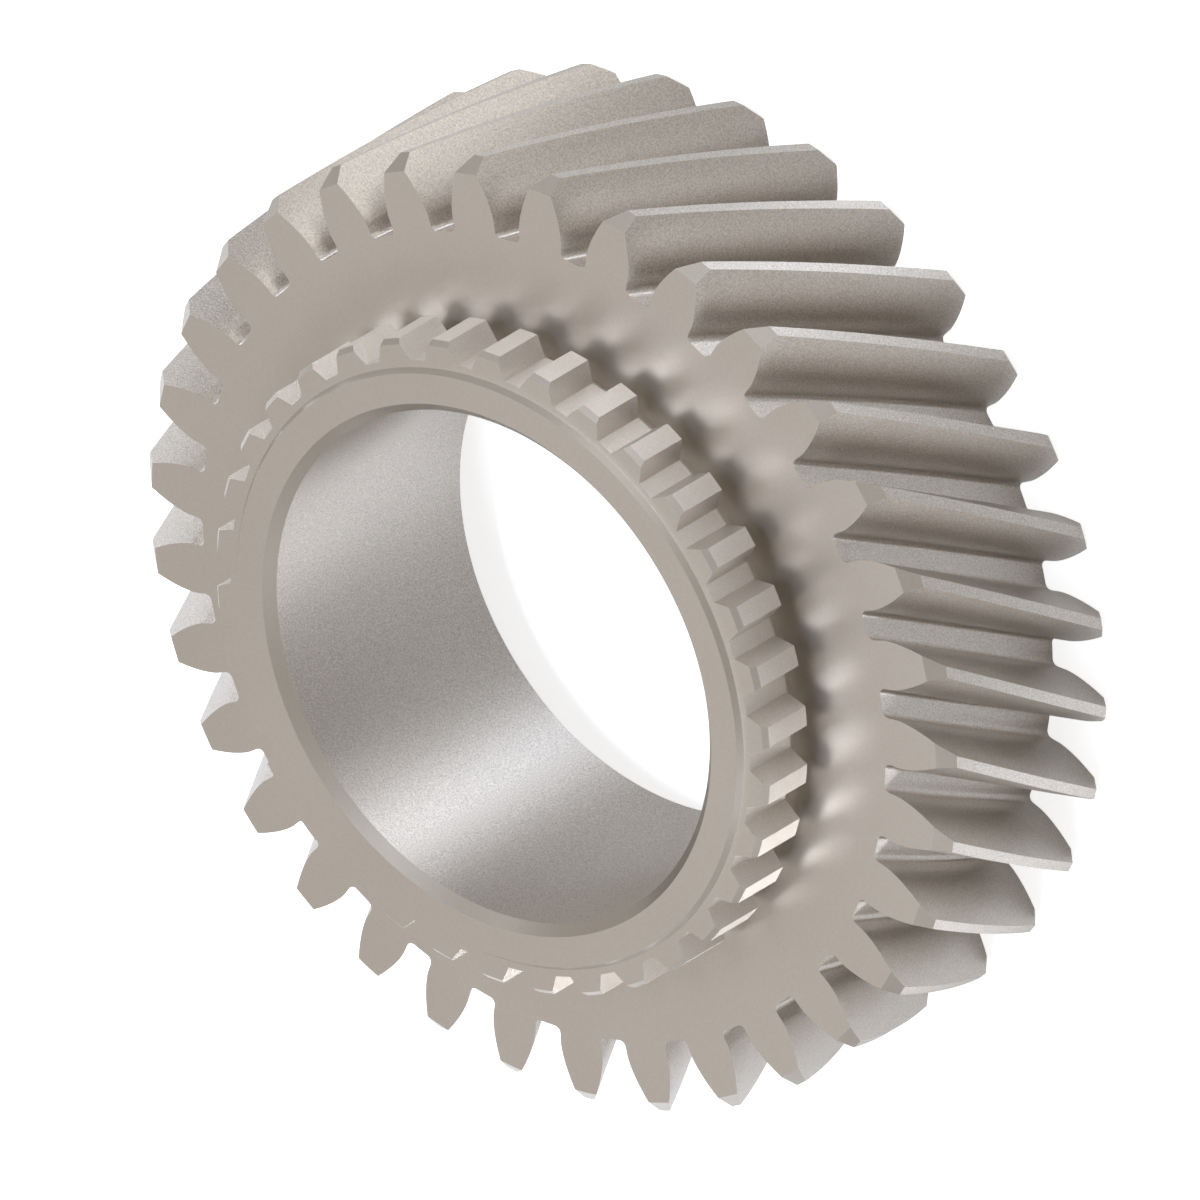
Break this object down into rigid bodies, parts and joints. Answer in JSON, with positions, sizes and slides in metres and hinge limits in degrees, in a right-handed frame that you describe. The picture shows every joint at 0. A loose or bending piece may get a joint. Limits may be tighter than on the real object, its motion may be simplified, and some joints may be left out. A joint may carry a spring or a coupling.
{
  "type": "gear wheel",
  "caption": "Helical gear wheel with a straight-toothed clutch ring beside the rim and a wide plain bore that runs on a bearing.",
  "frame": {"origin": "on the axis of the bore, in the plane of the rim's back face on which the wheel lies", "axes": "+Z along the axis towards the clutch ring, +X through the middle of a helical tooth in the front face of the rim"},
  "size_m": [0.0896, 0.0896, 0.0314],
  "materials": {
    "steel": "fine machined steel with a warm grey sheen, clean and unworn"
  },
  "bodies": {
    "root": {"gear_wheel": "steel"}
  },
  "joints": []
}
